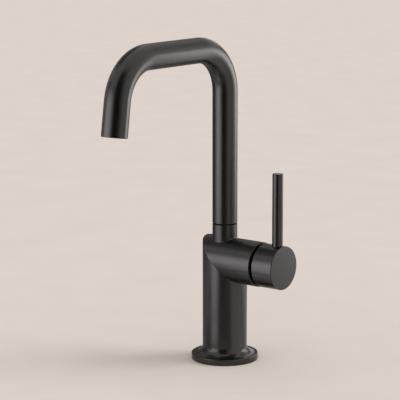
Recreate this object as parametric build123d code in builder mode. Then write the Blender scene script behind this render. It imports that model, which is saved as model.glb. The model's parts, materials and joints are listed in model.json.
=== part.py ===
from build123d import *
import os
from math import cos, radians, sin, sqrt

# A single-lever bar faucet, in millimetres. +Z is up, the spout points to -Y and the handle to +X.
# The origin is the centre of the foot, on the deck.

# Body: a column and a side housing of one diameter, mitred at the valve axis
column_diameter = 40.9
column_wall = 4.5
axis_height = 94.0
housing_reach = 42.4
collar_rise = 33.0
collar_fillet = 0.8
well_depth = 48.0
edge_break = 0.4

# Foot: a flared ring on a spigot of the column
foot_diameter = 61.6
foot_height = 14.0
foot_rim_height = 5.6
foot_edge_radius = 0.7
flare_radius = 8.0
spigot_step = 2.0
gasket_width = 6.0
gasket_thickness = 2.0

# Supply inlets and fixing stud in the ceiling of the well, at their tapping diameters
inlet_diameter = 9.0
inlet_depth = 14.0
inlet_spacing = 15.0
inlet_setback = 3.0
stud_diameter = 6.8
stud_depth = 12.0
stud_offset = 9.0

# Spout
tube_diameter = 22.9
tube_wall = 1.2
spout_rise = 160.7
arm_length = 142.8
leg_length = 65.2
leg_lean = 8.2
bend_radius = 40.0

# Swivel joint between collar and spout
glide_thickness = 1.1
glide_recess = 1.6
glide_edge_break = 0.15
socket_diameter = 17.0
socket_floor_wall = 2.0
bearing_thickness = 1.5
nipple_bore = 11.0
nipple_grip = 14.0
nipple_ring_pitch = 4.0
nipple_ring_rise = 2.5
swivel_screw_diameter = 4.0
swivel_screw_drop = 5.0
swivel_screw_recess = 0.4
swivel_screw_key = 2.0
swivel_tip_diameter = 3.0
swivel_groove_depth = 1.4

# Handle
handle_gap = 2.8
hub_diameter = 39.8
hub_length = 21.7
hub_edge_round = 0.6
hub_rim_wall = 1.4
hub_cavity_depth = 10.0
hub_boss_diameter = 13.0
hub_boss_length = 5.0
lever_diameter = 9.7
lever_rise = 85.4
lever_inset = 7.2
lever_seat_rise = 11.0
lever_spigot_diameter = 6.0
lever_spigot_length = 6.5
hub_screw_diameter = 5.0
hub_screw_length = 8.0
hub_screw_inset = 9.0
hub_screw_key = 2.5
hub_plug_length = 3.5

# Spindle: tilts on a pin and drives the moving disc with its ball end
pivot_setback = 15.5
flow_angle = 20.0
spindle_width = 6.0
spindle_tail = 4.0
spindle_grip = 11.4
pin_diameter = 3.0
pin_length = 19.2
neck_diameter = 3.4
ball_diameter = 5.0
ball_drop = 11.5

# Cartridge, from its seat in the body outwards
cartridge_diameter = 26.0
cartridge_wall = 2.4
base_thickness = 4.5
disc_thickness = 3.0
carrier_thickness = 6.5
rotor_drop = 8.9
rotor_rise = 2.9
rotor_lug_gap = 0.5
shell_lip = 1.5
shell_mouth = 17.0
moving_disc_diameter = 16.4
carrier_width = 13.0
port_diameter = 3.8
inlet_port_side = 4.2
inlet_port_drop = 2.2
outlet_port_rise = 3.4
outlet_channel_diameter = 6.0
seal_width = 1.1
seal_thickness = 1.5
peg_diameter = 3.0
peg_length = 2.0
peg_side = 9.5
peg_rise = 3.0
key_width = 2.4
key_depth = 1.2
key_length = 2.5
drive_peg_diameter = 2.4
drive_peg_length = 1.3
drive_peg_side = 4.8
drive_peg_rise = 2.5
mixing_depth = 1.5
mixing_slot_width = 3.6
mixing_slot_length = 11.0
mixing_bar_width = 10.0
mixing_bar_height = 3.0

# Nut and trim dome in the mouth of the housing
nut_diameter = 32.0
nut_length = 5.5
nut_socket = 18.0
dome_radius = 19.5
dome_thickness = 1.2
dome_opening = 21.2

# Aerator in the end of the leg
bush_recess = 0.6
bush_length = 15.4
bush_wall = 0.85
bush_shoulder = 3.0
bush_bore = 14.0
aerator_recess = 0.4
aerator_wall = 0.85
aerator_lip = 1.2
aerator_mouth = 14.4
key_notches = 8
key_notch_width = 1.6
key_notch_depth = 0.8
core_length = 4.8
cell_pitch = 2.2
cell_web = 0.5
cell_rings = 3
strainer_wall = 0.8
strainer_thickness = 0.6
strainer_pitch = 1.9
strainer_hole = 1.2
strainer_rows = 3
washer_thickness = 1.2

# Rings and clearances
o_ring_section = 1.4
o_ring_sides = 8
o_ring_room = 0.5
fit = 0.05
running = 0.05
slip = 0.1
swing = 0.15
clear = 0.35

# Places worked out from the sizes above
column_radius = column_diameter / 2
tube_radius = tube_diameter / 2
tube_bore_radius = tube_radius - tube_wall
foot_radius = foot_diameter / 2
hub_radius = hub_diameter / 2
spigot_radius = column_radius - spigot_step
well_radius = column_radius - column_wall
cartridge_radius = cartridge_diameter / 2
cartridge_bore_radius = cartridge_radius - cartridge_wall
port_radius = port_diameter / 2
hub_rim_x = housing_reach + handle_gap
hub_face_x = hub_rim_x + hub_length
hub_boss_x = hub_rim_x + hub_cavity_depth - hub_boss_length
spindle_end_x = hub_boss_x + spindle_grip
lever_x = hub_face_x - lever_inset
hub_screw_x = hub_face_x - hub_screw_inset
pivot_x = hub_rim_x - pivot_setback
ball_x = pivot_x - ball_drop
rotor_floor_x = pivot_x - rotor_drop
rotor_top_x = pivot_x + rotor_rise
carrier_x = rotor_floor_x - carrier_thickness
moving_disc_x = carrier_x - disc_thickness
fixed_disc_x = moving_disc_x - disc_thickness
seat_x = fixed_disc_x - base_thickness
shell_top_x = rotor_top_x + shell_lip
nut_top_x = shell_top_x + nut_length
chamber_radius = cartridge_radius + fit
socket_radius = socket_diameter / 2
nipple_radius = socket_radius - running
swivel_z = axis_height + collar_rise
socket_floor_z = axis_height + chamber_radius + socket_floor_wall
nipple_foot_z = socket_floor_z + bearing_thickness
nipple_ring_zs = [nipple_foot_z + nipple_ring_rise + i * nipple_ring_pitch for i in range(2)]
swivel_screw_z = swivel_z - swivel_screw_drop
tube_end_z = swivel_z + glide_thickness
arm_z = tube_end_z + spout_rise
disc_drop = ball_drop * sin(radians(flow_angle)) / 2

valve_axis = Axis((0, 0, axis_height), (1, 0, 0))
valve_side = Plane(origin=(0, 0, axis_height), x_dir=(1, 0, 0), z_dir=(0, -1, 0))
leg_down = Vector(0, -sin(radians(leg_lean)), -cos(radians(leg_lean)))
outlet = Vector(0, -arm_length, arm_z) + leg_down * leg_length
inlet_ports = [(-inlet_port_side, -inlet_port_drop), (inlet_port_side, -inlet_port_drop)]
outlet_port = (0, outlet_port_rise)
pegs = [(-peg_side, peg_rise), (peg_side, peg_rise)]


def across(x):
    """Plane square to the valve axis: local x is +Y, local y is +Z, and it faces +X."""
    return Plane(origin=(x, 0, axis_height), x_dir=(0, 1, 0), z_dir=(1, 0, 0))


def up_leg(height):
    """Plane square to the drop leg, at a height above its outlet, facing up the leg."""
    return Plane(origin=outlet - leg_down * height, x_dir=(1, 0, 0), z_dir=-leg_down)


def keep(piece, name):
    """Name a finished piece and write its file."""
    piece.part.label = name
    export_step(piece.part, f"parts/{name}.step")


os.makedirs("parts", exist_ok=True)

# Body casting: mitred elbow with a collar on top and a spigot below
with BuildPart() as body_casting:
    with BuildLine():
        Polyline((0, 0, foot_height), (0, 0, axis_height), (housing_reach, 0, axis_height))
    with BuildSketch(Plane.XY.offset(foot_height)):
        Circle(column_radius)
    sweep(transition=Transition.RIGHT)
    chamfer(body_casting.edges().filter_by(GeomType.CIRCLE).sort_by(Axis.X)[-1], edge_break)
    with BuildSketch(Plane.XY.offset(axis_height)):
        Circle(tube_radius)
    extrude(amount=collar_rise)
    fillet(body_casting.edges().filter_by(GeomType.BSPLINE), collar_fillet)
    chamfer(body_casting.edges().filter_by(GeomType.CIRCLE).sort_by(Axis.Z)[-1], glide_edge_break)
    with BuildSketch():
        Circle(spigot_radius)
    extrude(amount=foot_height)

    # Well for the hoses, with the tapped inlets and stud hole in its ceiling
    with BuildSketch():
        Circle(well_radius)
    extrude(amount=well_depth, mode=Mode.SUBTRACT)
    with BuildSketch(Plane.XY.offset(well_depth)):
        with Locations((-inlet_setback, -inlet_spacing / 2), (-inlet_setback, inlet_spacing / 2)):
            Circle(inlet_diameter / 2)
    extrude(amount=inlet_depth, mode=Mode.SUBTRACT)
    with BuildSketch(Plane.XY.offset(well_depth)):
        with Locations((stud_offset, 0)):
            Circle(stud_diameter / 2)
    extrude(amount=stud_depth, mode=Mode.SUBTRACT)

    # Inlet channels: up from each inlet, then across to the cartridge seat
    with BuildSketch(Plane.XY.offset(well_depth + inlet_depth)):
        with Locations((-inlet_setback, -inlet_port_side), (-inlet_setback, inlet_port_side)):
            Circle(port_radius)
    extrude(amount=axis_height - inlet_port_drop - well_depth - inlet_depth, mode=Mode.SUBTRACT)
    with BuildSketch(across(-inlet_setback)):
        with Locations(*inlet_ports):
            Circle(port_radius)
    extrude(amount=seat_x + inlet_setback, mode=Mode.SUBTRACT)

    # Outlet channel: in from the seat, then up to the spout socket
    with BuildSketch(across(0)):
        with Locations(outlet_port):
            Circle(port_radius)
    extrude(amount=seat_x, mode=Mode.SUBTRACT)
    with BuildSketch(Plane.XY.offset(axis_height + outlet_port_rise)):
        Circle(outlet_channel_diameter / 2)
    extrude(amount=collar_rise - outlet_port_rise, mode=Mode.SUBTRACT)
    with BuildSketch(Plane.XY.offset(socket_floor_z)):
        Circle(socket_radius)
    extrude(amount=swivel_z - socket_floor_z, mode=Mode.SUBTRACT)

    # Valve chamber, with peg holes in its seat and the nut's thread at its mouth
    with BuildSketch(across(seat_x)):
        Circle(chamber_radius)
    extrude(amount=housing_reach - seat_x, mode=Mode.SUBTRACT)
    with BuildSketch(across(shell_top_x)):
        Circle(nut_diameter / 2 + fit)
    extrude(amount=housing_reach - shell_top_x, mode=Mode.SUBTRACT)
    with BuildSketch(across(seat_x)):
        with Locations(*pegs):
            Circle(peg_diameter / 2 + fit)
    extrude(amount=-peg_length, mode=Mode.SUBTRACT)

    # Tapped hole for the screw that holds the spout, at the rear of the collar
    with BuildSketch(Plane.XZ.offset(-tube_radius)):
        with Locations((0, swivel_screw_z)):
            Circle(swivel_screw_diameter / 2 + fit)
    extrude(amount=tube_radius, mode=Mode.SUBTRACT)
keep(body_casting, "body_casting")

# Base ring: flat flange and concave flare, with a gasket recess and an O-ring groove
base_bore = spigot_radius + fit
gasket_mid = (spigot_radius + foot_radius) / 2
gasket_inner = gasket_mid - gasket_width / 2
gasket_outer = gasket_mid + gasket_width / 2
base_groove_height = o_ring_section + o_ring_room
with BuildPart() as base_ring:
    with BuildSketch(Plane.XZ) as foot_profile:
        with BuildLine():
            Polyline(
                (base_bore, 0),
                (foot_radius, 0),
                (foot_radius, foot_rim_height),
                (column_radius, foot_rim_height),
                (column_radius, foot_height),
                (base_bore, foot_height),
                close=True,
            )
        make_face()
        fillet(foot_profile.vertices().group_by(Axis.X)[1].sort_by(Axis.Y)[0], flare_radius)
        fillet(foot_profile.vertices().group_by(Axis.X)[-1].sort_by(Axis.Y)[-1], foot_edge_radius)
    revolve(axis=Axis.Z)
    with BuildSketch():
        Circle(gasket_outer + fit)
        Circle(gasket_inner - fit, mode=Mode.SUBTRACT)
    extrude(amount=gasket_thickness, mode=Mode.SUBTRACT)
    with BuildSketch(Plane.XY.offset(foot_rim_height - base_groove_height / 2)):
        Circle(base_bore + o_ring_section + fit)
    extrude(amount=base_groove_height, mode=Mode.SUBTRACT)
keep(base_ring, "base_ring")

with BuildPart() as base_gasket:
    with BuildSketch():
        Circle(gasket_outer)
        Circle(gasket_inner, mode=Mode.SUBTRACT)
    extrude(amount=gasket_thickness)
keep(base_gasket, "base_gasket")

with BuildPart() as base_o_ring:
    with BuildSketch(Plane.XZ):
        with Locations((base_bore + o_ring_section / 2, foot_rim_height)):
            RegularPolygon(o_ring_section / 2, o_ring_sides, False, rotation=180 / o_ring_sides)
    revolve(axis=Axis.Z)
keep(base_o_ring, "base_o_ring")

# Cartridge base: three ports with seal recesses on both faces, pegs below and keys above
seal_outer = port_radius + seal_width
disc_radius = cartridge_bore_radius - fit
key_mid = disc_radius - key_depth / 2
with BuildPart() as cartridge_base:
    with BuildSketch(across(seat_x)):
        Circle(cartridge_radius)
        with Locations(*inlet_ports, outlet_port):
            Circle(port_radius, mode=Mode.SUBTRACT)
    extrude(amount=base_thickness)
    with BuildSketch(across(seat_x)):
        with Locations(*inlet_ports, outlet_port):
            Circle(seal_outer + fit)
    extrude(amount=seal_thickness, mode=Mode.SUBTRACT)
    with BuildSketch(across(fixed_disc_x)):
        with Locations(*inlet_ports, outlet_port):
            Circle(seal_outer + fit)
    extrude(amount=-seal_thickness, mode=Mode.SUBTRACT)
    with BuildSketch(across(seat_x)):
        with Locations(*pegs):
            Circle(peg_diameter / 2)
    extrude(amount=-peg_length)
    with BuildSketch(across(fixed_disc_x)):
        with Locations((-key_mid, 0), (key_mid, 0)):
            Rectangle(key_depth, key_width)
        Circle(disc_radius, mode=Mode.INTERSECT)
    extrude(amount=key_length)
keep(cartridge_base, "cartridge_base")

# Seals round the three ports: one set against the body, one against the fixed disc
with BuildPart() as seat_seals:
    with BuildSketch(across(seat_x)):
        with Locations(*inlet_ports, outlet_port):
            Circle(seal_outer)
            Circle(port_radius, mode=Mode.SUBTRACT)
    extrude(amount=seal_thickness)
keep(seat_seals, "seat_seals")

with BuildPart() as disc_seals:
    with BuildSketch(across(fixed_disc_x)):
        with Locations(*inlet_ports, outlet_port):
            Circle(seal_outer)
            Circle(port_radius, mode=Mode.SUBTRACT)
    extrude(amount=-seal_thickness)
keep(disc_seals, "disc_seals")

# Fixed disc: the three ports, and notches that the keys of the base hold
with BuildPart() as fixed_disc:
    with BuildSketch(across(fixed_disc_x)):
        Circle(disc_radius)
        with Locations(*inlet_ports, outlet_port):
            Circle(port_radius, mode=Mode.SUBTRACT)
        with Locations((-disc_radius, 0), (disc_radius, 0)):
            Rectangle(2 * (key_depth + fit), key_width + 2 * fit, mode=Mode.SUBTRACT)
    extrude(amount=disc_thickness)
keep(fixed_disc, "fixed_disc")

# Moving disc: shuts the inlets at rest, and joins them to the outlet through its mixing recess
mixing_bar_rise = (mixing_bar_height - mixing_slot_length) / 2 - disc_drop
drive_pegs = [(-drive_peg_side, drive_peg_rise - disc_drop), (drive_peg_side, drive_peg_rise - disc_drop)]
with BuildPart() as moving_disc:
    with BuildSketch(across(moving_disc_x)):
        with Locations((0, -disc_drop)):
            Circle(moving_disc_diameter / 2)
    extrude(amount=disc_thickness)
    with BuildSketch(across(moving_disc_x)):
        with Locations((0, -disc_drop)):
            Rectangle(mixing_slot_width, mixing_slot_length)
        with Locations((0, mixing_bar_rise)):
            Rectangle(mixing_bar_width, mixing_bar_height)
    extrude(amount=mixing_depth, mode=Mode.SUBTRACT)
    with BuildSketch(across(carrier_x)):
        with Locations(*drive_pegs):
            Circle(drive_peg_diameter / 2 + fit)
    extrude(amount=-drive_peg_length - fit, mode=Mode.SUBTRACT)
keep(moving_disc, "moving_disc")

# Disc carrier: flats that slide between the lugs of the spindle carrier, and the ball's pocket
pocket_x = ball_x - ball_diameter / 2 - 2 * swing
with BuildPart() as disc_carrier:
    with BuildSketch(across(carrier_x)):
        with Locations((0, -disc_drop)):
            Circle(moving_disc_diameter / 2)
            Rectangle(carrier_width, moving_disc_diameter, mode=Mode.INTERSECT)
    extrude(amount=carrier_thickness)
    with BuildSketch(across(pocket_x)):
        Circle(ball_diameter / 2 + swing)
    extrude(amount=rotor_floor_x - pocket_x, mode=Mode.SUBTRACT)
    with BuildSketch(across(carrier_x)):
        with Locations(*drive_pegs):
            Circle(drive_peg_diameter / 2)
    extrude(amount=-drive_peg_length)
keep(disc_carrier, "disc_carrier")

# Spindle carrier: turns in the shell for temperature, with a slot that lets the spindle tilt for flow
rotor_radius = cartridge_bore_radius - running
slot_half = 2 * disc_drop + ball_diameter / 2 + clear
lug_x = carrier_x + rotor_lug_gap
with BuildPart() as spindle_carrier:
    with BuildSketch(across(rotor_floor_x)):
        Circle(rotor_radius)
        Rectangle(spindle_width + 2 * swing, 2 * slot_half, mode=Mode.SUBTRACT)
    extrude(amount=rotor_drop + rotor_rise)
    with BuildSketch(across(lug_x)):
        Circle(rotor_radius)
        Rectangle(carrier_width + 2 * slip, 2 * rotor_radius, mode=Mode.SUBTRACT)
    extrude(amount=rotor_floor_x - lug_x)
    with BuildSketch(Plane.XZ):
        with Locations((pivot_x, axis_height)):
            Circle(pin_diameter / 2 + fit)
    extrude(amount=rotor_radius, both=True, mode=Mode.SUBTRACT)
keep(spindle_carrier, "spindle_carrier")

with BuildPart() as spindle_pin:
    with BuildSketch(Plane.XZ):
        with Locations((pivot_x, axis_height)):
            Circle(pin_diameter / 2)
    extrude(amount=pin_length / 2, both=True)
keep(spindle_pin, "spindle_pin")

# Spindle: square stem for the hub, hole for the pin, neck and ball
with BuildPart() as spindle:
    with BuildSketch(across(pivot_x - spindle_tail)):
        Rectangle(spindle_width, spindle_width)
    extrude(amount=spindle_end_x - pivot_x + spindle_tail)
    with BuildSketch(Plane.XZ):
        with Locations((pivot_x, axis_height)):
            Circle(pin_diameter / 2 + running)
    extrude(amount=spindle_width, both=True, mode=Mode.SUBTRACT)
    with BuildSketch(across(ball_x)):
        Circle(neck_diameter / 2)
    extrude(amount=pivot_x - spindle_tail - ball_x)
    with Locations((ball_x, 0, axis_height)):
        Sphere(ball_diameter / 2)
keep(spindle, "spindle")

# Cartridge shell, with a lip over the spindle carrier
with BuildPart() as cartridge_shell:
    with BuildSketch(across(fixed_disc_x)):
        Circle(cartridge_radius)
        Circle(cartridge_bore_radius, mode=Mode.SUBTRACT)
    extrude(amount=rotor_top_x - fixed_disc_x)
    with BuildSketch(across(rotor_top_x)):
        Circle(cartridge_radius)
        Circle(shell_mouth / 2, mode=Mode.SUBTRACT)
    extrude(amount=shell_lip)
keep(cartridge_shell, "cartridge_shell")

# Ring nut with a hexagon socket
with BuildPart() as cartridge_nut:
    with BuildSketch(across(shell_top_x)):
        Circle(nut_diameter / 2)
        RegularPolygon(nut_socket / 2, 6, major_radius=False, mode=Mode.SUBTRACT)
    extrude(amount=nut_length)
keep(cartridge_nut, "cartridge_nut")

# Trim dome: a zone of a sphere about the spindle's pivot, open in the middle for the spindle
with BuildPart() as trim_dome:
    with BuildSketch(valve_side):
        with Locations((pivot_x, 0)):
            Circle(dome_radius)
            Circle(dome_radius - dome_thickness, mode=Mode.SUBTRACT)
        with Locations((nut_top_x, dome_opening / 2)):
            Rectangle(dome_radius, (nut_diameter - dome_opening) / 2, align=Align.MIN, mode=Mode.INTERSECT)
    revolve(axis=valve_axis)
keep(trim_dome, "trim_dome")

# Handle hub: hollow rim, boss with a square hole, lever seat and set screw hole
with BuildPart() as handle_hub:
    with BuildSketch(across(hub_rim_x)):
        Circle(hub_radius)
    extrude(amount=hub_length)
    fillet(handle_hub.edges().sort_by(Axis.X)[-1], hub_edge_round)
    chamfer(handle_hub.edges().sort_by(Axis.X)[0], edge_break)
    with BuildSketch(across(hub_rim_x)):
        Circle(hub_radius - hub_rim_wall)
    extrude(amount=hub_cavity_depth, mode=Mode.SUBTRACT)
    with BuildSketch(across(hub_boss_x)):
        Circle(hub_boss_diameter / 2)
    extrude(amount=hub_boss_length)
    with BuildSketch(across(hub_boss_x)):
        Rectangle(spindle_width + 2 * fit, spindle_width + 2 * fit)
    extrude(amount=spindle_grip + fit, mode=Mode.SUBTRACT)
    with BuildSketch(Plane.XY.offset(axis_height + lever_seat_rise)):
        with Locations((lever_x, 0)):
            Circle(lever_diameter / 2 + fit)
    extrude(amount=hub_radius - lever_seat_rise, mode=Mode.SUBTRACT)
    with BuildSketch(Plane.XY.offset(axis_height + lever_seat_rise)):
        with Locations((lever_x, 0)):
            Circle(lever_spigot_diameter / 2 + fit)
    extrude(amount=-lever_spigot_length - fit, mode=Mode.SUBTRACT)
    with BuildSketch(Plane.XY.offset(axis_height - hub_radius)):
        with Locations((hub_screw_x, 0)):
            Circle(hub_screw_diameter / 2 + fit)
    extrude(amount=hub_radius - spindle_width / 2, mode=Mode.SUBTRACT)
keep(handle_hub, "handle_hub")

# Lever rod, shouldered in the hub on a threaded spigot
with BuildPart() as lever_rod:
    with BuildSketch(Plane.XY.offset(axis_height + lever_seat_rise)):
        with Locations((lever_x, 0)):
            Circle(lever_diameter / 2)
    extrude(amount=lever_rise - lever_seat_rise)
    fillet(lever_rod.edges().sort_by(Axis.Z)[-1], hub_edge_round)
    with BuildSketch(Plane.XY.offset(axis_height + lever_seat_rise)):
        with Locations((lever_x, 0)):
            Circle(lever_spigot_diameter / 2)
    extrude(amount=-lever_spigot_length)
keep(lever_rod, "lever_rod")

# Set screw that grips the spindle from below, with a hexagon socket
hub_screw_top_z = axis_height - spindle_width / 2
hub_screw_foot_z = hub_screw_top_z - hub_screw_length
with BuildPart() as hub_set_screw:
    with BuildSketch(Plane.XY.offset(hub_screw_foot_z)):
        with Locations((hub_screw_x, 0)):
            Circle(hub_screw_diameter / 2)
    extrude(amount=hub_screw_length)
    with BuildSketch(Plane.XY.offset(hub_screw_foot_z)):
        with Locations((hub_screw_x, 0)):
            RegularPolygon(hub_screw_key / 2, 6, major_radius=False)
    extrude(amount=hub_screw_key, mode=Mode.SUBTRACT)
keep(hub_set_screw, "hub_set_screw")

# Plug over the set screw, rounded to the hub
with BuildPart() as hub_plug:
    with BuildSketch(Plane.XY.offset(axis_height - hub_radius)):
        with Locations((hub_screw_x, 0)):
            Circle(hub_screw_diameter / 2)
    extrude(amount=hub_plug_length)
    with BuildSketch(across(hub_screw_x)):
        Circle(hub_radius)
    extrude(amount=hub_screw_diameter, both=True, mode=Mode.INTERSECT)
keep(hub_plug, "hub_plug")

# Swivel joint: glide ring in the groove, bearing ring at the socket's floor
with BuildPart() as glide_ring:
    with BuildSketch(Plane.XY.offset(swivel_z)):
        Circle(tube_radius - glide_recess)
        Circle(socket_radius, mode=Mode.SUBTRACT)
    extrude(amount=glide_thickness)
keep(glide_ring, "glide_ring")

with BuildPart() as lower_bearing:
    with BuildSketch(Plane.XY.offset(socket_floor_z)):
        Circle(socket_radius - fit)
        Circle(nipple_bore / 2, mode=Mode.SUBTRACT)
    extrude(amount=bearing_thickness)
keep(lower_bearing, "lower_bearing")

# Spout nipple: a step that fills the tube, O-ring grooves and the groove for the retaining screw
ring_floor = nipple_radius - o_ring_section
ring_groove_height = o_ring_section + o_ring_room
screw_floor = nipple_radius - swivel_groove_depth
screw_groove_height = swivel_tip_diameter + 2 * clear
with BuildPart() as spout_nipple:
    with BuildSketch(Plane.XY.offset(nipple_foot_z)):
        Circle(nipple_radius)
    extrude(amount=tube_end_z - nipple_foot_z)
    with BuildSketch(Plane.XY.offset(tube_end_z)):
        Circle(tube_bore_radius - fit)
    extrude(amount=nipple_grip)
    with BuildSketch(Plane.XY.offset(nipple_foot_z)):
        Circle(nipple_bore / 2)
    extrude(amount=tube_end_z + nipple_grip - nipple_foot_z, mode=Mode.SUBTRACT)
    for ring_z in nipple_ring_zs:
        with BuildSketch(Plane.XY.offset(ring_z - ring_groove_height / 2)):
            Circle(socket_radius)
            Circle(ring_floor, mode=Mode.SUBTRACT)
        extrude(amount=ring_groove_height, mode=Mode.SUBTRACT)
    with BuildSketch(Plane.XY.offset(swivel_screw_z - screw_groove_height / 2)):
        Circle(socket_radius)
        Circle(screw_floor, mode=Mode.SUBTRACT)
    extrude(amount=screw_groove_height, mode=Mode.SUBTRACT)
keep(spout_nipple, "spout_nipple")

with BuildPart() as nipple_o_rings:
    with BuildSketch(Plane.XZ):
        with Locations(*[(nipple_radius - o_ring_section / 2, ring_z) for ring_z in nipple_ring_zs]):
            RegularPolygon(o_ring_section / 2, o_ring_sides, False, rotation=180 / o_ring_sides)
    revolve(axis=Axis.Z)
keep(nipple_o_rings, "nipple_o_rings")

# Retaining screw at the rear of the collar: its tip runs round the nipple's groove
with BuildPart() as spout_set_screw:
    with BuildSketch(Plane.XZ.offset(-socket_radius)):
        with Locations((0, swivel_screw_z)):
            Circle(swivel_screw_diameter / 2)
    extrude(amount=socket_radius + swivel_screw_recess - tube_radius)
    with BuildSketch(Plane.XZ.offset(-socket_radius)):
        with Locations((0, swivel_screw_z)):
            Circle(swivel_tip_diameter / 2)
    extrude(amount=socket_radius - screw_floor - clear)
    with BuildSketch(Plane.XZ.offset(swivel_screw_recess - tube_radius)):
        with Locations((0, swivel_screw_z)):
            RegularPolygon(swivel_screw_key / 2, 6, major_radius=False)
    extrude(amount=swivel_screw_key, mode=Mode.SUBTRACT)
keep(spout_set_screw, "spout_set_screw")

# Spout tube: riser, level arm and leaning leg in one bent tube
with BuildPart() as spout_tube:
    with BuildLine():
        FilletPolyline((0, 0, tube_end_z), (0, 0, arm_z), (0, -arm_length, arm_z), outlet, radius=bend_radius)
    with BuildSketch(Plane.XY.offset(tube_end_z)):
        Circle(tube_radius)
        Circle(tube_bore_radius, mode=Mode.SUBTRACT)
    sweep()
    ends = spout_tube.faces().filter_by(GeomType.PLANE).sort_by(Axis.Z)
    chamfer(ends[-1].outer_wire().edges(), edge_break)
    chamfer(ends[0].outer_wire().edges(), glide_edge_break)
keep(spout_tube, "spout_tube")

# Threaded bush in the outlet, with a shoulder for the aerator's washer
bush_radius = tube_bore_radius - fit
bush_inner = bush_radius - bush_wall
shoulder_height = bush_recess + bush_length - bush_shoulder
with BuildPart() as outlet_bush:
    with BuildSketch(up_leg(bush_recess)):
        Circle(bush_radius)
        Circle(bush_inner, mode=Mode.SUBTRACT)
    extrude(amount=bush_length - bush_shoulder)
    with BuildSketch(up_leg(shoulder_height)):
        Circle(bush_radius)
        Circle(bush_bore / 2, mode=Mode.SUBTRACT)
    extrude(amount=bush_shoulder)
keep(outlet_bush, "outlet_bush")

# Aerator: housing with a lip, honeycomb core, strainer and washer
aerator_radius = bush_inner - fit
aerator_inner = aerator_radius - aerator_wall
aerator_foot = bush_recess + aerator_recess
core_foot = aerator_foot + aerator_lip
core_top = core_foot + core_length
washer_foot = shoulder_height - washer_thickness
with BuildPart() as aerator_housing:
    with BuildSketch(up_leg(aerator_foot)):
        Circle(aerator_radius)
        Circle(aerator_mouth / 2, mode=Mode.SUBTRACT)
    extrude(amount=aerator_lip)
    with BuildSketch(up_leg(aerator_foot)):
        with PolarLocations(aerator_mouth / 2, key_notches):
            Rectangle(key_notch_width, key_notch_width)
    extrude(amount=key_notch_depth, mode=Mode.SUBTRACT)
    with BuildSketch(up_leg(core_foot)):
        Circle(aerator_radius)
        Circle(aerator_inner, mode=Mode.SUBTRACT)
    extrude(amount=washer_foot - core_foot)
keep(aerator_housing, "aerator_housing")

cells = [
    (cell_pitch * (i + j / 2), cell_pitch * j * sqrt(3) / 2)
    for i in range(-cell_rings, cell_rings + 1)
    for j in range(-cell_rings, cell_rings + 1)
    if abs(i + j) <= cell_rings
]
with BuildPart() as aerator_core:
    with BuildSketch(up_leg(core_foot)):
        Circle(aerator_inner - fit)
        with Locations(*cells):
            RegularPolygon((cell_pitch - cell_web) / 2, 6, False, rotation=30, mode=Mode.SUBTRACT)
    extrude(amount=core_length)
keep(aerator_core, "aerator_core")

with BuildPart() as aerator_strainer:
    with BuildSketch(up_leg(core_top)):
        Circle(aerator_inner - fit)
        Circle(aerator_inner - fit - strainer_wall, mode=Mode.SUBTRACT)
    extrude(amount=washer_foot - core_top - strainer_thickness)
    with BuildSketch(up_leg(washer_foot - strainer_thickness)):
        Circle(aerator_inner - fit)
        with GridLocations(strainer_pitch, strainer_pitch, 2 * strainer_rows, 2 * strainer_rows):
            Rectangle(strainer_hole, strainer_hole, mode=Mode.SUBTRACT)
    extrude(amount=strainer_thickness)
keep(aerator_strainer, "aerator_strainer")

with BuildPart() as aerator_washer:
    with BuildSketch(up_leg(washer_foot)):
        Circle(aerator_radius)
        Circle(bush_bore / 2, mode=Mode.SUBTRACT)
    extrude(amount=washer_thickness)
keep(aerator_washer, "aerator_washer")
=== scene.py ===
import json
from math import cos, radians, sin

import bpy
from mathutils import Matrix, Vector

# A matte black bar faucet on a pale floor, in metres.
# +Z is up, the spout points to -Y and the handle to +X.
# Azimuths turn from -Y towards +X, and elevations are above the horizon, both in degrees.
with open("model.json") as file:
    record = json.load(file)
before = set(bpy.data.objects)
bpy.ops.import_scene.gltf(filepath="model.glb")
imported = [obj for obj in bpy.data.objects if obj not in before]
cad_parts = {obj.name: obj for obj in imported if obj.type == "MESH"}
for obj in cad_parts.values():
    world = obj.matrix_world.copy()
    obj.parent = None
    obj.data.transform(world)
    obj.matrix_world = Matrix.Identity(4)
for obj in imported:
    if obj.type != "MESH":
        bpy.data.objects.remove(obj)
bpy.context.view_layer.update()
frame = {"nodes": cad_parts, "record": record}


def grey(shade):
    """Grey of a shade from 0 to 1."""
    return (shade, shade, shade, 1.0)


# Camera at the photograph's viewing angle
VIEW_AZIMUTH = 38.6
VIEW_ELEVATION = 10.554
VIEW_ROLL = -0.08
VIEW_DISTANCE = 1.6465
VIEW_TARGET = Vector((-0.01784, -0.01419, 0.1487))
LENS_MM = 162.0
SENSOR_MM = 36.0

# Floor and the cove at its rim
FLOOR_RADIUS = 9.0
FLOOR_SIDES = 96
COVE_RADIUS = 4.0
COVE_ROWS = 16

# Light
WORLD_COLOUR = (1.0, 0.975, 0.955, 1.0)
WORLD_STRENGTH = 0.9
LAMP_COLOUR = (1.0, 0.98, 0.985)
ROSE_WHITE = (1.0, 0.942, 0.985, 1.0)
WARM_WHITE = (1.0, 0.972, 0.935, 1.0)

# Sheets that show in reflections alone: reaches of upright ones, lift off the floor, and counts of cells
WALL = (0.42, 0.42)
OUTER_WALL = (0.43, 0.43)
SHEET_LIFT = 0.001
SHEET_STEPS = 48
CARD_ROWS = 1
GLOW_ROWS = 24

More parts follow.
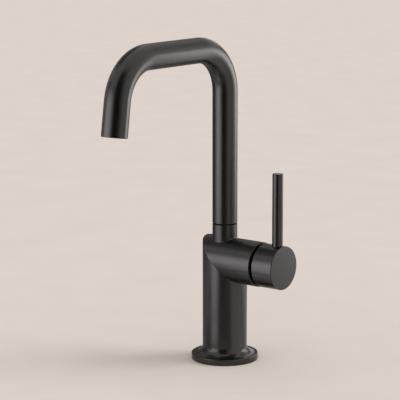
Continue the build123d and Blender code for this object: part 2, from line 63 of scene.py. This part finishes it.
# The two colours that each surface is mottled with
COAT = ((0.0024, 0.0023, 0.0022, 1.0), (0.0034, 0.0033, 0.0032, 1.0))
GROOVE = (grey(0.002), grey(0.004))
BRASS = ((0.7, 0.5, 0.24, 1.0), (0.8, 0.6, 0.31, 1.0))
STEEL = (grey(0.46), grey(0.56))
RUBBER = (grey(0.014), (0.024, 0.023, 0.022, 1.0))
CERAMIC = ((0.8, 0.78, 0.72, 1.0), (0.86, 0.84, 0.79, 1.0))
WHITE_ACETAL = ((0.7, 0.7, 0.67, 1.0), (0.77, 0.77, 0.74, 1.0))
BLACK_ACETAL = (grey(0.011), grey(0.017))
GREY_ACETAL = ((0.26, 0.27, 0.28, 1.0), (0.33, 0.34, 0.35, 1.0))
PLASTER = ((0.605, 0.554, 0.511, 1.0), (0.585, 0.534, 0.491, 1.0))

# Lowest and highest roughness
COAT_ROUGHNESS = (0.27, 0.30)
FOOT_ROUGHNESS = (0.22, 0.25)
GROOVE_ROUGHNESS = (0.7, 0.8)
PLASTER_ROUGHNESS = 0.9

# Sizes of mottling, of patches of roughness and of grain, and the relief of the grain
COAT_MOTTLE = 0.02
COAT_PATCH = 0.009
COAT_GRAIN = 0.0004
COAT_RELIEF = 0.000004
GROOVE_MOTTLE = 0.004
GROOVE_PATCH = 0.003
PLASTER_MOTTLE = 0.06

# The same on the other surfaces, in grains
MOTTLE_GRAINS = 20
PATCH_GRAINS = 8
RELIEF_GRAINS = 1 / 40

# Noise: the part of its range that is spread out, and the detail of patches and of plaster
NOISE_LOW = 0.3
NOISE_HIGH = 0.7
PATCH_DETAIL = 3.0
PLASTER_DETAIL = 4.0

# Reflection of the coat, and the groove's weak reflection, which paints the shade of its recess
COAT_IOR = 1.6
GROOVE_SHADE_SPECULAR = 0.1

# The casting is bare brass inside its hose well and inlets, whose sizes are in the record
BARE_MARGIN = 0.0004
bores = {mount["name"]: mount["dims"] for mount in frame["record"]["mounts"] if mount["dims"]}
bare_radius = bores["hose_well"]["r_mm"] / 1000 + BARE_MARGIN
bare_height = (bores["hose_well"]["length_mm"] + bores["cold_inlet"]["length_mm"]) / 1000 + BARE_MARGIN


def heading(azimuth, elevation):
    """Unit vector from the object towards an azimuth and an elevation."""
    a, e = radians(azimuth), radians(elevation)
    return Vector((sin(a) * cos(e), -cos(a) * cos(e), sin(e)))


def facing(place, target, roll=0.0):
    """Matrix of a camera or lamp at a place that looks at a target."""
    turn = (target - place).to_track_quat("-Z", "Y").to_matrix().to_4x4()
    return Matrix.Translation(place) @ turn @ Matrix.Rotation(radians(roll), 4, "Z")


def link(obj):
    """The object, put in the scene."""
    bpy.context.scene.collection.objects.link(obj)
    return obj


class Finish:
    """A material under construction: its tree, its shader and its object coordinates, in metres."""

    def __init__(self, name):
        self.material = bpy.data.materials.new(name)
        self.material.use_nodes = True
        self.tree = self.material.node_tree
        self.shader = self.tree.nodes["Principled BSDF"]
        self.place = self.add("ShaderNodeTexCoord").outputs["Object"]

    def add(self, kind, **inputs):
        """New node with values or links on its inputs, named with _ for a space."""
        node = self.tree.nodes.new(kind)
        for name, value in inputs.items():
            self.plug(node.inputs[name.replace("_", " ")], value)
        return node

    def plug(self, socket, value):
        """Link another node's output to a socket, or set the socket's value."""
        if isinstance(value, bpy.types.NodeSocket):
            self.tree.links.new(value, socket)
        else:
            socket.default_value = value

    def set(self, **inputs):
        """Values or links on the shader's own sockets."""
        for name, value in inputs.items():
            self.plug(self.shader.inputs[name.replace("_", " ")], value)

    def noise(self, size, detail=2.0, low=0.0, high=1.0):
        """Noise with features of a size, spread between two values."""
        cloud = self.add("ShaderNodeTexNoise", Vector=self.place, Scale=1 / size, Detail=detail)
        spread = self.add("ShaderNodeMapRange", Value=cloud.outputs["Fac"], To_Min=low, To_Max=high)
        self.plug(spread.inputs["From Min"], NOISE_LOW)
        self.plug(spread.inputs["From Max"], NOISE_HIGH)
        return spread.outputs["Result"]

    def calculate(self, operation, first, second):
        """Result of an operation on two values."""
        node = self.tree.nodes.new("ShaderNodeMath")
        node.operation = operation
        self.plug(node.inputs[0], first)
        self.plug(node.inputs[1], second)
        return node.outputs["Value"]

    def within(self, radius, height):
        """1 inside a round well about the column's axis, 0 outside it."""
        x, y, z = self.add("ShaderNodeSeparateXYZ", Vector=self.place).outputs
        x_squared = self.calculate("MULTIPLY", x, x)
        y_squared = self.calculate("MULTIPLY", y, y)
        near = self.calculate("LESS_THAN", self.calculate("ADD", x_squared, y_squared), radius ** 2)
        low = self.calculate("LESS_THAN", z, height)
        return self.calculate("MULTIPLY", near, low)

    def blend(self, factor, first, second):
        """Colour between two colours."""
        node = self.tree.nodes.new("ShaderNodeMix")
        node.data_type = "RGBA"
        self.plug(node.inputs["Factor"], factor)
        self.plug(node.inputs["A"], first)
        self.plug(node.inputs["B"], second)
        return node.outputs["Result"]

    def bump(self, height, depth):
        """Normal from a height between 0 and 1, for a relief of a depth."""
        return self.add("ShaderNodeBump", Height=height, Strength=1.0, Distance=depth).outputs["Normal"]


def coat(name, roughness, bare=False):
    """Matte black coating: fine grain, faint mottling and a soft satin sheen.

    A bare one leaves the hose well and the inlets in plain brass.
    """
    finish = Finish(name)
    colour = finish.blend(finish.noise(COAT_MOTTLE), *COAT)
    if bare:
        well = finish.within(bare_radius, bare_height)
        colour = finish.blend(well, colour, BRASS[1])
        finish.set(Metallic=well)
    patches = finish.noise(COAT_PATCH, PATCH_DETAIL, *roughness)
    finish.set(Base_Color=colour, Roughness=patches, IOR=COAT_IOR)
    finish.set(Normal=finish.bump(finish.noise(COAT_GRAIN), COAT_RELIEF))
    return finish.material


def plain(name, colours, roughness, grain, metallic=0.0):
    """Moulded or turned surface: two close colours, uneven roughness and a fine grain."""
    finish = Finish(name)
    colour = finish.blend(finish.noise(grain * MOTTLE_GRAINS), *colours)
    patches = finish.noise(grain * PATCH_GRAINS, PATCH_DETAIL, *roughness)
    finish.set(Base_Color=colour, Roughness=patches, Metallic=metallic)
    finish.set(Normal=finish.bump(finish.noise(grain), grain * RELIEF_GRAINS))
    return finish.material


def groove():
    """Dead black of the swivel groove's glide ring: its own black, with a weak reflection that is
    painted shade of the recess.
    """
    finish = Finish("groove_black_painted_shade")
    colour = finish.blend(finish.noise(GROOVE_MOTTLE), *GROOVE)
    patches = finish.noise(GROOVE_PATCH, PATCH_DETAIL, *GROOVE_ROUGHNESS)
    finish.set(Base_Color=colour, Roughness=patches, Specular_IOR_Level=GROOVE_SHADE_SPECULAR)
    return finish.material


def pale():
    """Pale, faintly mottled plaster of the floor and the backdrop."""
    finish = Finish("pale_plaster")
    colour = finish.blend(finish.noise(PLASTER_MOTTLE, PLASTER_DETAIL), *PLASTER)
    finish.set(Base_Color=colour, Roughness=PLASTER_ROUGHNESS, Specular_IOR_Level=0.0)
    return finish.material


def ring(radius, height):
    """Points round the column's axis, at a radius and a height."""
    rise = Vector((0, 0, height))
    return [heading(360 * side / FLOOR_SIDES, 0) * radius + rise for side in range(FLOOR_SIDES)]


def floor(material):
    """Round flat floor."""
    mesh = bpy.data.meshes.new("floor")
    mesh.from_pydata(ring(FLOOR_RADIUS, 0), [], [range(FLOOR_SIDES)])
    mesh.materials.append(material)
    link(bpy.data.objects.new("floor", mesh))


def backdrop(material):
    """Cove that rises from the floor's rim, behind every view. Only the camera sees it."""
    points = []
    for row in range(COVE_ROWS + 1):
        climb = radians(90 * row / COVE_ROWS)
        points += ring(FLOOR_RADIUS + COVE_RADIUS * sin(climb), COVE_RADIUS * (1 - cos(climb)))
    faces = []
    for row in range(COVE_ROWS):
        lower = row * FLOOR_SIDES
        upper = lower + FLOOR_SIDES
        for side in range(FLOOR_SIDES):
            following = (side + 1) % FLOOR_SIDES
            faces.append((lower + side, lower + following, upper + following, upper + side))
    mesh = bpy.data.meshes.new("backdrop")
    mesh.from_pydata(points, [], faces)
    mesh.polygons.foreach_set("use_smooth", [True] * len(mesh.polygons))
    mesh.materials.append(material)
    obj = link(bpy.data.objects.new("backdrop", mesh))
    obj.visible_diffuse = False
    obj.visible_glossy = False
    obj.visible_shadow = False


def smooth(start, end, value):
    """Soft step from 0 at the start to 1 at the end."""
    share = min(max((value - start) / (end - start), 0), 1)
    return share * share * (3 - 2 * share)


def arc_sheet(name, azimuths, reaches, height, rows, base=0.0):
    """Sheet on an arc round the object, shown in reflections alone.

    The reaches are the distances of its lower and its upper edge, which is a height above the lower one.
    Returns the mesh, and for each of its points the azimuth and the share of the way up.
    """
    first, last = azimuths
    lower, upper = reaches
    across = SHEET_STEPS + 1
    points = []
    spots = []
    for row in range(rows + 1):
        up = row / rows
        reach = lower + (upper - lower) * up
        rise = Vector((0, 0, base + SHEET_LIFT + height * up))
        for step in range(across):
            azimuth = first + (last - first) * step / SHEET_STEPS
            points.append(heading(azimuth, 0) * reach + rise)
            spots.append((azimuth, up))
    corners = [row * across + step for row in range(rows) for step in range(SHEET_STEPS)]
    faces = [(corner, corner + 1, corner + across + 1, corner + across) for corner in corners]
    mesh = bpy.data.meshes.new(name)
    mesh.from_pydata(points, [], faces)
    obj = link(bpy.data.objects.new(name, mesh))
    obj.visible_camera = False
    obj.visible_diffuse = False
    obj.visible_shadow = False
    return mesh, spots


def card(name, azimuths, reaches, shade, height=0.0, base=0.0):
    """Grey card, flat on the floor where it has no height; flat ones are painted shade of the floor,
    seen in reflections alone.
    """
    mesh, _ = arc_sheet(name, azimuths, reaches, height, CARD_ROWS, base)
    finish = Finish(name)
    finish.set(Base_Color=grey(shade), Roughness=1.0, Specular_IOR_Level=0.0)
    mesh.materials.append(finish.material)


def glow(name, azimuths, fades, reaches, height, levels, colour, middle_at=0.5):
    """Soft light that fades out over some degrees at its two sides.

    The levels are its strength at the lower edge, at a share of the way up and at the upper edge.
    """
    first, last = azimuths
    foot, middle, top = levels
    mesh, spots = arc_sheet(name, azimuths, reaches, height, GLOW_ROWS)
    strength = mesh.attributes.new("strength", "FLOAT", "POINT")
    for (azimuth, up), point in zip(spots, strength.data):
        side = smooth(first, first + fades[0], azimuth) * smooth(last, last - fades[1], azimuth)
        if up <= middle_at:
            level = foot + (middle - foot) * smooth(0, middle_at, up)
        else:
            level = top + (middle - top) * smooth(1, middle_at, up)
        point.value = side * level
    finish = Finish(name)
    reader = finish.add("ShaderNodeAttribute")
    reader.attribute_name = "strength"
    finish.set(Base_Color=grey(0.0), Specular_IOR_Level=0.0)
    finish.set(Emission_Color=colour, Emission_Strength=reader.outputs["Fac"])
    mesh.materials.append(finish.material)


def lamp(name, azimuth, elevation, spread, strength):
    """Soft distant light, which casts the shadow. In reflections the glows stand for it."""
    data = bpy.data.lights.new(name, "SUN")
    data.angle = radians(spread)
    data.energy = strength
    data.color = LAMP_COLOUR
    obj = link(bpy.data.objects.new(name, data))
    obj.matrix_world = facing(heading(azimuth, elevation), Vector())
    obj.visible_glossy = False


# Finishes by the record's material slots, and the pieces that have a finish of their own
finishes = {
    "matte_black": coat("matte_black_coat", COAT_ROUGHNESS),
    "brass": plain("turned_brass", BRASS, roughness=(0.22, 0.36), grain=0.0004, metallic=1.0),
    "steel": plain("screw_steel", STEEL, roughness=(0.25, 0.4), grain=0.0003, metallic=1.0),
    "rubber": plain("seal_rubber", RUBBER, roughness=(0.6, 0.75), grain=0.0005),
    "ceramic": plain("disc_ceramic", CERAMIC, roughness=(0.1, 0.16), grain=0.0003),
    "cartridge_plastic": plain("white_acetal", WHITE_ACETAL, roughness=(0.36, 0.46), grain=0.0005),
    "black_plastic": plain("black_acetal", BLACK_ACETAL, roughness=(0.36, 0.48), grain=0.0005),
    "aerator_plastic": plain("grey_acetal", GREY_ACETAL, roughness=(0.36, 0.46), grain=0.0005),
}
own_finishes = {
    # The glide ring's weak reflection is painted shade of the groove
    "glide_ring": groove(),
    "base_ring": coat("matte_black_foot", FOOT_ROUGHNESS),
    "body_casting": coat("matte_black_body", COAT_ROUGHNESS, bare=True),
}
for subpart in frame["record"]["subparts"]:
    node = subpart["node"]
    finish = own_finishes.get(node, finishes[subpart["material_slot"]])
    frame["nodes"][node].material_slots[0].material = finish

plaster = pale()
floor(plaster)
backdrop(plaster)

# What the coat reflects in front, at the left, high up, and low on the right, with painted shade of the
# floor on the flat cards
card("front_card", azimuths=(9, 32), reaches=WALL, height=0.75, shade=0.0)
glow("front_ramp", azimuths=(32, 84), fades=(52, 0.1), reaches=WALL, height=0.75,
     levels=(0.95, 0.95, 0.95), colour=WARM_WHITE)
# Painted shade of the floor in front, seen in reflections alone
card("front_floor_shade_card", azimuths=(9, 66), reaches=(0.075, 0.42), shade=0.25)
card("left_card", azimuths=(-150, -72), reaches=WALL, height=0.22, shade=0.15)
card("left_top_card", azimuths=(-150, -72), reaches=OUTER_WALL, height=0.55, shade=0.35)
# Painted shade of the floor at the left, partly the object's shadow, seen in reflections alone
card("left_floor_shade_card", azimuths=(-165, -72), reaches=(0.05, 0.42), shade=0.25)
# Painted shadow of the housing and hub on the floor beside the foot, seen in reflections alone
card("foot_side_shadow_card", azimuths=(-72, -30), reaches=(0.034, 0.15), shade=0.33)
card("high_card", azimuths=(-125, -55), reaches=OUTER_WALL, height=0.5, base=0.55, shade=0.15)
card("back_high_card", azimuths=(145, 215), reaches=(1.2, 1.2), height=0.6, base=0.95, shade=0.65)
glow("right_floor_glow", azimuths=(62, 134), fades=(8, 6), reaches=(0.05, 0.45), height=0.01,
     levels=(0.9, 0.9, 0.9), colour=WARM_WHITE)

# The soft light at the left, from the foot up, and the key light behind at the right
glow("left_low_glow", azimuths=(-46, 15), fades=(25, 25), reaches=(0.19, 0.19), height=0.06,
     levels=(2.2, 2.3, 2.4), middle_at=0.6, colour=ROSE_WHITE)
glow("foot_glow", azimuths=(-34, 15), fades=(12, 23), reaches=(0.1, 0.1), height=0.012,
     levels=(2.4, 2.4, 2.4), colour=ROSE_WHITE)
glow("left_glow", azimuths=(-72, 16), fades=(45, 35), reaches=(0.5, 1.3), height=0.9,
     levels=(2.6, 3.3, 0.4), middle_at=0.15, colour=ROSE_WHITE)
glow("key_glow", azimuths=(124, 192), fades=(15, 42), reaches=(0.3, 1.1), height=0.6,
     levels=(1.25, 4.4, 0.9), middle_at=0.42, colour=WARM_WHITE)
lamp("key_light", azimuth=129, elevation=32, spread=35, strength=1.9)

world = bpy.data.worlds.new("studio")
world.use_nodes = True
world.node_tree.nodes["Background"].inputs["Color"].default_value = WORLD_COLOUR
world.node_tree.nodes["Background"].inputs["Strength"].default_value = WORLD_STRENGTH
bpy.context.scene.world = world
bpy.context.scene.view_settings.view_transform = "Standard"

camera = link(bpy.data.objects.new("camera", bpy.data.cameras.new("camera")))
camera.data.lens = LENS_MM
camera.data.sensor_width = SENSOR_MM
camera.data.clip_end = 2 * (FLOOR_RADIUS + COVE_RADIUS)
camera_place = VIEW_TARGET + heading(VIEW_AZIMUTH, VIEW_ELEVATION) * VIEW_DISTANCE
camera.matrix_world = facing(camera_place, VIEW_TARGET, VIEW_ROLL)
bpy.context.scene.camera = camera
